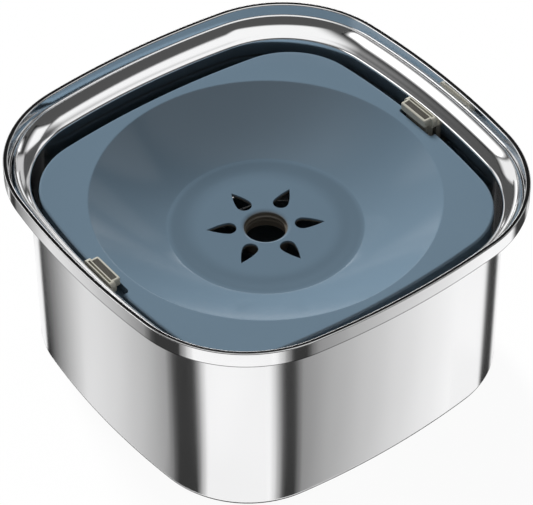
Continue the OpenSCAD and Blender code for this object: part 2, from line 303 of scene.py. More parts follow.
def pick(piece, kind, test):
    """Selects the verts, edges or faces that pass a test, in edit mode."""
    bpy.ops.mesh.select_mode(type={"verts": "VERT", "edges": "EDGE", "faces": "FACE"}[kind])
    bpy.ops.mesh.select_all(action="DESELECT")
    mesh = bmesh.from_edit_mesh(piece.data)
    mesh.normal_update()
    chosen = [item for item in getattr(mesh, kind) if test(item)]
    for item in chosen:
        item.select_set(True)
    mesh.select_flush_mode()
    bmesh.update_edit_mesh(piece.data)
    if not chosen:
        raise RuntimeError(f"nothing to pick among the {kind} of {piece.name}")


def along(edge, axis):
    """Whether an edge runs along an axis."""
    return abs((edge.verts[0].co - edge.verts[1].co).normalized()[axis]) > 0.999


def sharp(edge):
    """Whether two faces meet at an edge with a bend of more than 40 degrees."""
    return len(edge.link_faces) == 2 and edge.calc_face_angle(0) > math.radians(40)


def at_level(item, level, slack=NEAR):
    """Whether all corners of an edge or a face lie at a height."""
    return all(abs(v.co.z - level) < slack for v in item.verts)


def bevel(piece, offset, segments, test):
    """Rounds the edges that pass a test."""
    edit(piece)
    pick(piece, "edges", test)
    bpy.ops.mesh.bevel(offset=offset, segments=segments, affect="EDGES")
    close_edit()


def apply(piece, kind, **settings):
    """Adds a modifier to a piece and applies it."""
    select_only(piece)
    modifier = piece.modifiers.new(kind.title(), kind)
    for key, value in settings.items():
        setattr(modifier, key, value)
    bpy.ops.object.modifier_apply(modifier=modifier.name)


def combine(piece, operation, *tools):
    """Joins tools to a piece or cuts them out, and deletes them."""
    for tool in tools:
        apply(piece, "BOOLEAN", operation=operation, object=tool, solver="EXACT")
        bpy.data.objects.remove(tool)


def draw_line(name, points):
    """Starts a piece as a line of edges in the XZ plane, drawn point by point, and stays in edit mode."""
    select_only(None)
    bpy.ops.mesh.primitive_plane_add(size=MM)
    piece = named(name)
    bpy.ops.object.mode_set(mode="EDIT")
    bpy.ops.mesh.select_mode(type="VERT")
    bpy.ops.mesh.select_all(action="SELECT")
    bpy.ops.mesh.merge(type="CENTER")
    bpy.ops.transform.translate(value=(points[0][0], 0, points[0][1]))
    for a, b in zip(points, points[1:]):
        step = (b[0] - a[0], 0, b[1] - a[1])
        bpy.ops.mesh.extrude_region_move(TRANSFORM_OT_translate={"value": step})
    bpy.ops.mesh.select_all(action="SELECT")
    return piece


def close_loop(piece):
    """Joins the two ends of a drawn line, so that it bounds a solid section."""
    pick(piece, "verts", lambda v: len(v.link_edges) == 1)
    bpy.ops.mesh.edge_face_add()
    bpy.ops.mesh.select_all(action="SELECT")


def weld():
    """Merges the seams of the piece that is open and turns its faces outward."""
    bpy.ops.mesh.select_all(action="SELECT")
    bpy.ops.mesh.remove_doubles(threshold=0.002 * MM)
    bpy.ops.mesh.normals_make_consistent(inside=False)


def swept(name, points, path, closed=False):
    """A piece made of a line, closed or not, that is spun along a path of turns."""
    piece = draw_line(name, points)
    if closed:
        close_loop(piece)
    for centre, turn, steps in path:
        bpy.ops.mesh.spin(steps=steps, angle=turn, center=(*centre, 0), axis=(0, 0, -1))
    weld()
    close_edit()
    return piece


def bridge(piece, inner, levels):
    """Joins an inner piece to an outer one and closes the flat gap between them at each level."""
    select_only(piece)
    inner.select_set(True)
    bpy.ops.object.join()
    edit(piece)
    for level in levels:
        pick(piece, "edges", lambda e: e.is_boundary and at_level(e, level))
        bpy.ops.mesh.bridge_edge_loops()
    weld()
    close_edit()


def show_side(piece, wanted):
    """Turns an open sheet over unless its faces already point the way that the test wants."""
    mesh = bmesh.from_edit_mesh(piece.data)
    mesh.normal_update()
    votes = sum(wanted(face.calc_center_median(), face.normal) * face.calc_area() for face in mesh.faces)
    if votes < 0:
        bpy.ops.mesh.select_all(action="SELECT")
        bpy.ops.mesh.flip_normals()


def full_turn(steps):
    """The path of one turn round the upright axis."""
    return [((0, 0), 2 * math.pi, steps)]


def round_path(half_x, half_y, radius, bow, side_steps, corner_steps):
    """Turns (centre, angle, steps) that lead from the middle of the right side all the way round."""
    p, q = half_x - radius - bow, half_y - radius - bow
    reach_x, reach_y = half_x - p, half_y - q
    side_x = (reach_x ** 2 + q ** 2 - radius ** 2) / (2 * (reach_x - radius))
    side_y = (reach_y ** 2 + p ** 2 - radius ** 2) / (2 * (reach_y - radius))
    first = math.atan2(q, p - half_x + side_x)
    last = math.atan2(q - half_y + side_y, p)
    right, back = p - q / math.tan(first), q - p * math.tan(last)
    half = side_steps // 2
    corner = last - first
    return [
        ((right, 0), first, half), ((p, q), corner, corner_steps),
        ((0, back), math.pi - 2 * last, side_steps), ((-p, q), corner, corner_steps),
        ((-right, 0), 2 * first, side_steps), ((-p, -q), corner, corner_steps),
        ((0, -back), math.pi - 2 * last, side_steps), ((p, -q), corner, corner_steps),
        ((right, 0), first, half)]


def bowl_path(s, side_steps, corner_steps):
    """The rim's outline as a path of turns."""
    return round_path(s.half_width, s.half_width, s.corner_radius, s.side_bow, side_steps, corner_steps)


def float_path(s):
    """The float's outline as a path of turns."""
    return round_path(s.half_x, s.half_y, s.corner_radius, s.side_bow, 16, 32)


def wall_arc(s, degrees):
    """The centre and radius of the arc of the rim's outline that faces a direction."""
    turned = math.radians(degrees) % (2 * math.pi)
    for centre, turn, _ in bowl_path(s, 2, 1):
        if turned <= turn:
            break
        turned -= turn
    corner = abs(centre[0]) > MM and abs(centre[1]) > MM
    reach = s.corner_radius if corner else s.half_width + max(abs(centre[0]), abs(centre[1]))
    return centre, reach


def spaced(steps):
    """The shares of a way after each of some equal steps."""
    return [i / steps for i in range(1, steps + 1)]


def rounded(corners, steps):
    """A line through (x, z, radius) corners with each corner rounded."""
    line = [Vector(corners[0][:2])]
    for before, here, after in zip(corners, corners[1:], corners[2:]):
        a, b, c = Vector(before[:2]), Vector(here[:2]), Vector(after[:2])
        into, out = (b - a).normalized(), (c - b).normalized()
        bend = into.angle(out)
        cut = here[2] * math.tan(bend / 2)
        start, end = b - into * cut, b + out * cut
        hub = b + (out - into).normalized() * here[2] / math.cos(bend / 2)
        for t in (0, *spaced(steps)):
            k = math.sin(bend * (1 - t)) / math.sin(bend), math.sin(bend * t) / math.sin(bend)
            line.append(hub + (start - hub) * k[0] + (end - hub) * k[1])
    line.append(Vector(corners[-1][:2]))
    return line


def block(name, low, high):
    """A box from its lowest to its highest corner."""
    select_only(None)
    low, high = Vector(low), Vector(high)
    bpy.ops.mesh.primitive_cube_add(size=1, location=(low + high) / 2, scale=high - low)
    piece = named(name)
    bpy.ops.object.transform_apply(location=True, rotation=True, scale=True)
    return piece


def smooth(piece, degrees=30):
    """Shades a piece smoothly, with flat faces kept flat beside rounded edges."""
    select_only(piece)
    bpy.ops.object.shade_smooth_by_angle(angle=math.radians(degrees))
    apply(piece, "WEIGHTED_NORMAL", mode="FACE_AREA", weight=50, keep_sharp=True)


def copy_of(piece, name):
    """A copy of a piece with its own mesh."""
    twin = piece.copy()
    twin.data = piece.data.copy()
    twin.name = twin.data.name = name
    bpy.context.scene.collection.objects.link(twin)
    return twin


def flip(piece):
    """Turns a piece into its mirror image on the other side of the YZ plane."""
    edit(piece)
    bpy.ops.transform.resize(value=(-1, 1, 1), center_override=(0, 0, 0))
    bpy.ops.mesh.normals_make_consistent(inside=False)
    close_edit()


def hand_in(piece, material, body, node):
    """Gives a piece its finish, says which body carries it and hides the CAD node that it stands for."""
    select_only(None)
    piece.data.materials.clear()
    piece.data.materials.append(material)
    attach(piece, body)
    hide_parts(node)


class Wire:
    """An output socket of a node tree. Arithmetic on it adds Math nodes."""

    def __init__(self, tree, socket=None):
        self.tree = tree
        self.socket = socket

    def node(self, kind, settings=None, sockets=None, out=0):
        """Adds a node: its settings first, then the values or links of its sockets. Returns one output."""
        new = self.tree.nodes.new(kind)
        for key, value in (settings or {}).items():
            setattr(new, key, value)
        for key, value in (sockets or {}).items():
            if isinstance(value, Wire):
                self.tree.links.new(value.socket, new.inputs[key])
            else:
                new.inputs[key].default_value = value
        return Wire(self.tree, new.outputs[out] if len(new.outputs) else None)

    def math(self, operation, a, b):
        """A Math node on two numbers or wires."""
        return self.node("ShaderNodeMath", {"operation": operation}, {0: a, 1: b})

    def __add__(self, other):
        return self.math("ADD", self, other)

    def __sub__(self, other):
        return self.math("SUBTRACT", self, other)

    def __rsub__(self, other):
        return self.math("SUBTRACT", other, self)

    def __mul__(self, other):
        return self.math("MULTIPLY", self, other)

    __radd__ = __add__
    __rmul__ = __mul__

    def axis(self, index):
        """One component of this vector."""
        return self.node("ShaderNodeSeparateXYZ", {}, {0: self}, out=index)

    def vector(self, operation, other=(0, 0, 0), out="Value"):
        """A Vector Math node on this vector, with a number as its result unless told otherwise."""
        return self.node("ShaderNodeVectorMath", {"operation": operation}, {0: self, 1: other}, out)

    def noise(self, scale, detail=3.0, stretch=(1, 1, 1)):
        """Noise from 0 to 1 on this vector, drawn out along the axes that have a small stretch value."""
        place = self.node("ShaderNodeMapping", {}, {"Vector": self, "Scale": stretch})
        return self.node("ShaderNodeTexNoise", {}, {"Vector": place, "Scale": scale, "Detail": detail})

    def ramp(self, low, high, kind="SMOOTHSTEP"):
        """This value brought from low..high to 0..1."""
        settings = {"interpolation_type": kind}
        return self.node("ShaderNodeMapRange", settings, {"Value": self, "From Min": low, "From Max": high})

    def fall(self, low, high):
        """This value brought from low..high to 1..0."""
        return 1 - self.ramp(low, high)

    def blend(self, first, second):
        """A colour between two others, by this value."""
        ends = [tone if isinstance(tone, Wire) else (*tone, 1) for tone in (first, second)]
        return self.node("ShaderNodeMix", {"data_type": "RGBA"}, {0: self, 6: ends[0], 7: ends[1]}, out=2)

    def patchy(self, tone, dark, light):
        """A colour that wanders between a darker and a lighter tone, by this value."""
        return self.blend(tinted(tone, dark), tinted(tone, light))

    def bump(self, height_mm, strength):
        """A normal from this height."""
        sockets = {"Strength": strength, "Distance": height_mm * MM, "Height": self}
        return self.node("ShaderNodeBump", {}, sockets)

    def shine(self):
        """A surface that only shines, in a grey of this value."""
        grey = self.node("ShaderNodeCombineColor", {}, {0: self, 1: self, 2: self})
        return self.node("ShaderNodeEmission", {}, {"Color": grey, "Strength": 1.0})

    def end(self):
        """Ends a material with this surface."""
        self.node("ShaderNodeOutputMaterial", {}, {"Surface": self})


def tinted(tone, share):
    """A colour made lighter or darker."""
    return tuple(min(1.0, channel * share) for channel in tone)


def new_finish(name):
    """A new material and its object coordinates."""
    material = bpy.data.materials.new(name)
    material.use_nodes = True
    material.node_tree.nodes.clear()
    wire = Wire(material.node_tree)
    return material, wire.node("ShaderNodeTexCoord", out="Object")


def paint(wire, sockets):
    """Ends a material with a Principled surface."""
    wire.node("ShaderNodeBsdfPrincipled", {}, sockets).end()


def steel_finish():
    """Steel sheet: satin on the drawn wall with fine upright scratches, polished on the rim."""
    tone = bpy.context.scene.bowl_finishes.steel
    top = bpy.context.scene.steel_bowl.height
    material, place = new_finish("polished_steel")
    height = place.axis(2)
    polish = height.ramp(top - 20 * MM, top - 10 * MM)
    scratches = place.noise(900, 2, (1, 1, 0.012))
    smudges = place.noise(16, 4)
    # A painted shadow line where the band ends, on the outside alone: the shade in the gap under the band's
    # edge.
    base = top - bpy.context.scene.steel_bowl.band
    outward = place.node("ShaderNodeNewGeometry", out="Normal").vector("DOT_PRODUCT", place)
    band_shadow = height.fall(base + 0.35 * MM, base + 0.75 * MM) * height.ramp(base - 0.3 * MM, base - 0.1 * MM)
    band_shadow = band_shadow * outward.ramp(20 * MM, 40 * MM)
    paint(place, {
        "Base Color": band_shadow.blend(smudges.patchy(tone, 0.97, 1.03), tinted(tone, 0.2)),
        "Metallic": 1.0,
        "Roughness": 0.13 - polish * 0.08 + smudges * 0.03 + scratches * 0.03,
        "Normal": scratches.bump(0.004, 0.5)})
    return material


def slate_finish():
    """Glossy slate-blue moulding with a faint orange peel, with painted shade on the sunk plate and inside
    the holes.
    """
    tone = bpy.context.scene.bowl_finishes.slate
    material, place = new_finish("slate_moulding")
    clouds = place.noise(9, 3)
    peel = place.noise(420, 2)
    plate = dish_line(bpy.context.scene.float_sizes)[1]
    depth = place.axis(2)
    radius = place.vector("MULTIPLY", (1, 1, 0), "Vector").vector("LENGTH")
    # Painted shade inside the holes: below the plate and within the leaves' reach, the dark hole colour
    # takes over.
    inside = depth.fall(plate - 1.6 * MM, plate - 0.5 * MM) * radius.fall(36 * MM, 38 * MM)
    # Painted shade on the sunk plate at half strength, and stronger in a ring inside the plate's edge.
    deep = depth.fall(plate + 0.8 * MM, plate + 1.4 * MM)
    ring = deep * radius.ramp(34 * MM, 44 * MM) * radius.fall(48.5 * MM, 52.4 * MM)
    plate_shade = deep * radius.fall(51.4 * MM, 52.4 * MM) * 0.5
    skin = plate_shade.blend(clouds.patchy(tone, 0.95, 1.05), tinted(tone, 0.8))
    skin = ring.blend(skin, tinted(tone, 0.76))
    paint(place, {
        "Base Color": inside.blend(skin, bpy.context.scene.bowl_finishes.flow_hole),
        "Roughness": 0.1 + clouds * 0.05 + peel * 0.04,
        "Specular IOR Level": 0.3,
        "Normal": peel.bump(0.01, 0.25)})
    return material


def clip_finish():
    """Satin warm-grey moulding with a fine spark-eroded grain."""
    tone = bpy.context.scene.bowl_finishes.clip_grey
    material, place = new_finish("clip_moulding")
    grain = place.noise(2600, 2)
    paint(place, {
        "Base Color": place.noise(60, 3).patchy(tone, 0.93, 1.07),
        "Roughness": 0.42 + grain * 0.2,
        "Normal": grain.bump(0.02, 0.35)})
    return material


def grip_finish():
    """Dark matt grip with a speckled surface."""
    tone = bpy.context.scene.bowl_finishes.grip_brown
    material, place = new_finish("grip_pad")
    speckle = place.noise(1800, 3)
    paint(place, {
        "Base Color": speckle.patchy(tone, 0.7, 1.4),
        "Roughness": 0.55 + speckle * 0.25,
        "Normal": speckle.bump(0.03, 0.5)})
    return material


def rubber_finish(name, roughness):
    """Matt rubber with a dusty bloom."""
    tone = bpy.context.scene.bowl_finishes.rubber
    material, place = new_finish(name)
    bloom = place.noise(70, 4)
    paint(place, {
        "Base Color": bloom.patchy(tone, 0.8, 1.6),
        "Roughness": roughness + bloom * 0.12,
        "Normal": place.noise(1500, 2).bump(0.03, 0.4)})
    return material


class PETBOWL_OT_steel_bowl(bpy.types.Operator):
    """Models the drawn steel bowl with its ledge, rolled rim and stamped base"""

    bl_idname = "pet_bowl.steel_bowl"
    bl_label = "Steel bowl"

    def execute(self, context):
        s = context.scene.steel_bowl
        floor = s.foot_height + s.sheet
        line = [(s.half_width + x, z) for x, z in self.wet_side(s, floor)]
        piece = swept("steel_bowl", line, bowl_path(s, 20, 36))
        edit(piece)
        show_side(piece, lambda centre, normal: -normal.dot(Vector((centre.x, centre.y, 0)).normalized()))
        pick(piece, "edges", lambda e: e.is_boundary and e.verts[0].co.z < s.height / 2)
        bpy.ops.mesh.edge_face_add()
        bpy.ops.mesh.poke()
        bpy.ops.mesh.select_all(action="SELECT")
        bpy.ops.mesh.normals_make_consistent(inside=False)
        show_side(piece, lambda centre, normal: normal.z if centre.z < floor + 3 * MM else 0)
        apply(piece, "SOLIDIFY", thickness=s.sheet, offset=-1, use_even_offset=True)
        smooth(piece, 35)
        hand_in(piece, steel_finish(), "bowl", "bowl_shell")
        return {"FINISHED"}

    def wet_side(self, s, floor):
        """The sheet's section from the band over the rim to the base, with x from the rim's outside."""
        ledge = s.height - s.rim_face
        lip = ledge - s.ledge_drop
        band = s.height - s.band
        head = -s.hem - s.rim_lean
        ring = s.wall_step + s.standing_ring
        base = floor + s.base_rise
        rim = rounded([
            (0.4 * MM - s.sheet, band, 0),
            (0, band, 0.15 * MM),
            (0, s.height, 0.5 * MM),
            (-s.hem, s.height, 0.85 * MM),
            (head, ledge, 0.4 * MM),
            (head - s.bead, ledge - 0.1 * MM, 0.35 * MM),
            (head - s.bead - 0.35 * MM, ledge - MM, 0)], 5)
        crease = (-7.2 * MM, ledge - 5.3 * MM, 16 * MM)
        tail = (1.1 * MM - s.wall_step, lip + 1.35 * MM, 0)
        cove = rounded([(*rim[-1], 0), crease, tail], 12)[1:-1]
        bowl = rounded([
            tail,
            (-s.wall_step, lip + 0.4 * MM, 1.5 * MM),
            (-s.wall_step, floor, s.bottom_radius),
            (-ring, floor, 1.5 * MM),
            (-ring - s.base_rise, base, 1.5 * MM),
            (-ring - 12 * MM, base, 0)], 6)
        return rim + cove + bowl


class PETBOWL_OT_feet(bpy.types.Operator):
    """Models the four rubber feet, each with rings in its sole"""

    bl_idname = "pet_bowl.feet"
    bl_label = "Rubber feet"

    def execute(self, context):
        groove = context.scene.steel_bowl.foot_groove
        middle = (FOOT[0] + FOOT[1]) / 2
        radius = (FOOT[1].x - FOOT[0].x) / 2
        top = FOOT[1].z
        # The sole from its middle, as shares of the radius: a groove inside each of three rings.
        sole = [(0, groove), (0.12, groove)]
        for share in (0.16, 0.44, 0.72):
            sole += [(share, 0), (share + 0.14, 0), (share + 0.18, groove)]
        line = [(radius * share, z, 0.2 * MM) for share, z in sole[:-1]]
        line += [(radius, top / 2, 0.4 * MM), (radius, top, 0), (0, top, 0)]
        foot = swept("foot_master", rounded(line, 3), full_turn(64))
        smooth(foot, 35)
        material = rubber_finish("foot_rubber", 0.62)
        for end, y in (("front", -1), ("back", 1)):
            for side, x in (("left", -1), ("right", 1)):
                twin = copy_of(foot, f"rubber_foot_{end}_{side}")
                edit(twin)
                bpy.ops.transform.translate(value=(x * middle.x, y * middle.y, 0))
                close_edit()
                hand_in(twin, material, "bowl", f"foot_{end}_{side}")
        bpy.data.objects.remove(foot)
        return {"FINISHED"}


def beside(line, distance):
    """A line at a distance to the left of another, without the points that a tight bend would fold over."""
    moved = []
    for i, here in enumerate(line):
        way = line[min(i + 1, len(line) - 1)] - line[max(i - 1, 0)]
        spot = here + Vector((-way.y, way.x)).normalized() * distance
        if all((spot - other).length > 0.995 * distance for other in line):
            moved.append(spot)
    return moved


def dish_top(s):
    """The dish's upper side from its edge down the slope and over the plate to the edge of the hole."""
    edge, end = Vector((s.dish_radius, 0)), Vector((s.plate_radius, -s.dish_depth))
    down_and_in = Vector((-0.47, -0.88))
    hollow = (edge + end) / 2 + down_and_in * s.dish_sag
    slope = [edge * (1 - t) ** 2 + hollow * 2 * t * (1 - t) + end * t ** 2 for t in spaced(32)]
    lead = [(edge.x + s.dish_edge / 2, 0, 0), (edge.x, 0, s.dish_edge), (*slope[1], 0)]
    line = rounded(lead, 5) + slope[2:]
    base = end.y - s.plate_drop
    marks = [
        (end.x - 0.5 * MM, end.y - 0.1 * MM), (s.ring_radius, base - s.ring_depth),
        (s.ring_radius - 5 * MM, base), (s.leaf_tip + 2.5 * MM, base)]
    line.append(Vector(marks[0]))
    for (x0, z0), (x1, z1) in zip(marks, marks[1:]):
        for t in spaced(7):
            drop = (1 - math.cos(math.pi * t)) / 2
            line.append(Vector((x0 + (x1 - x0) * t, z0 + (z1 - z0) * drop)))
    line.append(Vector((s.leaf_start - 1.8 * MM, base)))
    return line


def dish_line(s):
    """The dish's whole section, by the hole's tube and back along the underside, and the plate's level."""
    top = dish_top(s)
    start, plate = top[-1]
    low = TRAY_BOTTOM.z - s.top
    bore = s.hole_radius
    lip = rounded([(start, plate, 0), (bore, plate - 1.1 * MM, 0.6 * MM), (bore, low, 0)], 4)[1:-1]
    # Two low ribs inside the tube.
    for level in (plate - 3.2 * MM, plate - 5.6 * MM):
        for rise, drop in ((0, 0), (0.9, 0.3), (0.9, 0.8), (0, 1.1)):
            lip.append(Vector((bore - rise * MM, level - drop * MM)))
    outer = bore + s.tube_wall
    tube = [Vector((bore, low)), Vector((outer, low)), Vector((outer, plate - s.shell))]
    below = beside(top, s.shell)
    # A boss that presses on the well's gasket.
    boss_out = INNER_SEAL[1].x + 0.5 * MM
    boss_in = boss_out - 3.6 * MM
    press = INNER_SEAL[1].z - s.top
    outside = [spot for spot in below if spot.x > boss_out]
    inside = [spot for spot in below if spot.x < boss_in]
    boss = [(boss_out, outside[-1].y), (boss_out, press), (boss_in, press), (boss_in, inside[0].y)]
    back = outside + [Vector(spot) for spot in boss] + inside
    line = top + lip + tube + back[::-1]
    return [(x, s.top + z) for x, z in line], s.top + plate


def leaf_cutter(s, level):
    """The leaf-shaped tools around the middle, standing through the plate."""
    half = s.leaf_width / 2
    hub = s.leaf_start + half
    reach = s.leaf_tip - hub
    side = []
    for t in (0, *spaced(10)):
        turn = math.pi / 2 * t
        side.append((hub - half * math.cos(turn), half * math.sin(turn)))
    side += [(hub + reach * t, half * (1 - t ** 1.5)) for t in spaced(14)]
    tool = draw_line("leaf_tool", side + [(x, -z) for x, z in reversed(side[1:-1])])
    close_loop(tool)
    bpy.ops.mesh.edge_face_add()
    bpy.ops.transform.rotate(value=-math.pi / 2, orient_axis="X", center_override=(0, 0, 0))
    bpy.ops.transform.translate(value=(0, 0, level - 6 * MM))
    bpy.ops.mesh.extrude_region_move(TRANSFORM_OT_translate={"value": (0, 0, 10 * MM)})
    bpy.ops.mesh.select_all(action="SELECT")
    bpy.ops.mesh.normals_make_consistent(inside=False)
    first_leaf = math.radians(89)
    bpy.ops.transform.rotate(value=-first_leaf, orient_axis="Z", center_override=(0, 0, 0))
    more = s.leaf_count - 1
    turn = 2 * math.pi * more / s.leaf_count
    bpy.ops.mesh.spin(steps=more, dupli=True, angle=turn, center=(0, 0, 0), axis=(0, 0, -1))
    close_edit()
    return tool


class PETBOWL_OT_drinking_tray(bpy.types.Operator):
    """Models the float's upper moulding with its dish, sunk plate, flow holes and clip notches"""

    bl_idname = "pet_bowl.drinking_tray"
    bl_label = "Drinking tray"

    def execute(self, context):
        s, clip = context.scene.float_sizes, context.scene.clip_sizes
        piece = self.skin(s)
        self.notches(piece, s, clip)
        smooth(piece)
        hand_in(piece, slate_finish(), "float", "float_tray")
        return {"FINISHED"}

    def skin(self, s):
        """Skirt, flat border and dish with its leaf holes."""
        section, plate = dish_line(s)
        dish = swept("dish_skin", section, full_turn(192))
        wall = s.half_x - s.skirt_wall
        low, under = s.top - s.skirt, s.top - s.shell
        soft = 0.3 * MM
        piece = swept("drinking_tray", rounded([
            (wall - MM, s.top, 0), (s.half_x, s.top, s.edge_radius), (s.half_x, low, soft),
            (wall, low, soft), (wall, under, soft), (wall - MM, under, 0)], 6), float_path(s))
        bridge(piece, dish, (s.top, under))
        self.merge_rings(piece, s.top, plate)
        combine(piece, "DIFFERENCE", leaf_cutter(s, plate))
        hole = s.leaf_start - MM
        bevel(piece, 0.3 * MM, 3, lambda e: sharp(e) and at_level(e, plate, 2 * NEAR) and all(
            hole < v.co.xy.length for v in e.verts))
        return piece

    def merge_rings(self, piece, top, plate):
        """Makes two large faces each of the flat border and the flat plate, ready for cutting."""
        edit(piece)
        for half in (1, -1):
            pick(piece, "faces", lambda f: at_level(f, top, FLAT) and f.calc_center_median().x * half > 0
                 and all(other.normal.z > UP for e in f.edges for other in e.link_faces))
            bpy.ops.mesh.dissolve_faces()
            pick(piece, "faces", lambda f: at_level(f, plate, FLAT) and f.calc_center_median().y * half > 0)
            bpy.ops.mesh.dissolve_faces()
        close_edit()

    def notches(self, piece, s, clip):
        """The two notches, each a closed pocket with rounded inner corners and a rail along its mouth."""
        gap = 0.4 * MM
        over = 5 * MM
        low = Vector((CLIP_FACE - s.notch_gap, -clip.block_length / 2 - clip.travel - 2 * gap,
                      s.top - s.notch_depth))
        far = clip.block_length / 2 + gap
        shell = Vector((s.shell, s.shell, s.shell))
        for side in (1, -1):
            pocket = (s.half_x - 1.3 * MM, far + s.shell, s.top - MM)
            combine(piece, "UNION", self.rounded_block("pocket", low - shell, pocket, 3 * MM, side))
            space = (s.half_x + over, far, s.top + over)
            combine(piece, "DIFFERENCE", self.rounded_block("notch", low, space, 1.6 * MM, side))
            xs = sorted((side * (s.half_x - 1.6 * MM), side * (s.half_x - 0.6 * MM)))
            rail = block("rail", (xs[0], low.y - MM, low.z - MM), (xs[1], far + MM, low.z + MM))
            combine(piece, "UNION", rail)
        bevel(piece, 0.45 * MM, 3, lambda e: sharp(e) and at_level(e, s.top) and all(
            abs(v.co.y) < clip.block_length for v in e.verts))

    def rounded_block(self, name, low, high, radius, side):
        """A box whose inner upright corners are rounded, on the right or left side."""
        tool = block(name, low, high)
        bevel(tool, radius, 6, lambda e: along(e, 2) and e.verts[0].co.x < (low[0] + high[0]) / 2)
        if side < 0:
            flip(tool)
        return tool


class PETBOWL_OT_lower_shell(bpy.types.Operator):
    """Models the float's lower moulding with its clamping flange and the well around the flow holes"""

    bl_idname = "pet_bowl.lower_shell"
    bl_label = "Lower shell"

    def execute(self, context):
        s, clip = context.scene.float_sizes, context.scene.clip_sizes
        bottom, seal, rim = PAN_BOTTOM.z, OUTER_SEAL[0].z, INNER_SEAL[0].z
        floor = bottom + s.shell
        wall = s.half_x - s.nest
        inside = wall - s.shell
        low, top = seal - s.flange, seal + 3 * MM
        start = wall - 14 * MM
        piece = swept("lower_shell", rounded([
            (start, floor, 0), (inside, floor, s.pan_radius - s.shell), (inside, top, 0.3 * MM),
            (wall, top, 0.3 * MM), (wall, seal, 0.2 * MM), (s.half_x, seal, 0.4 * MM),
            (s.half_x, low, 0.4 * MM), (wall, low, 0.4 * MM), (wall, bottom, s.pan_radius),
            (start, bottom, 0)], 6), float_path(s))
        well = -INNER_SEAL[0].x - 1.3 * MM - s.shell / 2
        reach, edge = well + s.shell, well + 6 * MM
        inner = swept("well_wall", rounded([
            (edge, bottom, 0), (well, bottom, 1.5 * MM), (well, rim, 0.3 * MM), (reach, rim, 0.3 * MM),
            (reach, floor, 0.5 * MM), (edge, floor, 0)], 4), full_turn(192))
        bridge(piece, inner, (bottom, floor))
        self.hook_gaps(piece, s, clip, wall, low, seal)
        smooth(piece)
        hand_in(piece, bpy.data.materials["slate_moulding"], "float", "float_pan")
        return {"FINISHED"}

    def hook_gaps(self, piece, s, clip, wall, low, high):
        """Two gaps in the flange on each side, which let the clips' hooks in."""
        reach = clip.travel / 2 + 0.3 * MM
        for side in (1, -1):
            xs = sorted((side * (wall + 0.1 * MM), side * (s.half_x + 8 * MM)))
            for place in (-HOOK_PLACE, HOOK_PLACE):
                middle = place * clip.block_length - clip.travel
                gap = block("hook_gap", (xs[0], middle - reach, low - MM),
                            (xs[1], middle + reach, high + MM))
                combine(piece, "DIFFERENCE", gap)


class PETBOWL_OT_seals(bpy.types.Operator):
    """Models the outline gasket and the well gasket between the float's shells"""

    bl_idname = "pet_bowl.seals"
    bl_label = "Seals"

    def execute(self, context):
        s = context.scene.float_sizes
        material = rubber_finish("seal_rubber", 0.5)
        outer_edge, well_edge = s.half_x - 0.3 * MM, INNER_SEAL[1].x
        for name, outer, width, space, path, node in (
                ("outline_gasket", outer_edge, 2 * MM, OUTER_SEAL, float_path(s), "outer_seal"),
                ("well_gasket", well_edge, 2.6 * MM, INNER_SEAL, full_turn(160), "inner_seal")):
            piece = swept(name, self.section(outer - width, outer, space[0].z, space[1].z), path, True)
            smooth(piece, 35)
            hand_in(piece, material, "float", node)
        return {"FINISHED"}

    def section(self, inner, outer, low, high):
        """A gasket's section with rounded corners, started in the middle of its inner side."""
        soft = 0.4 * MM
        middle = (low + high) / 2
        return rounded([
            (inner, middle, 0), (inner, low, soft), (outer, low, soft),
            (outer, high, soft), (inner, high, soft), (inner, middle, 0)], 4)[:-1]


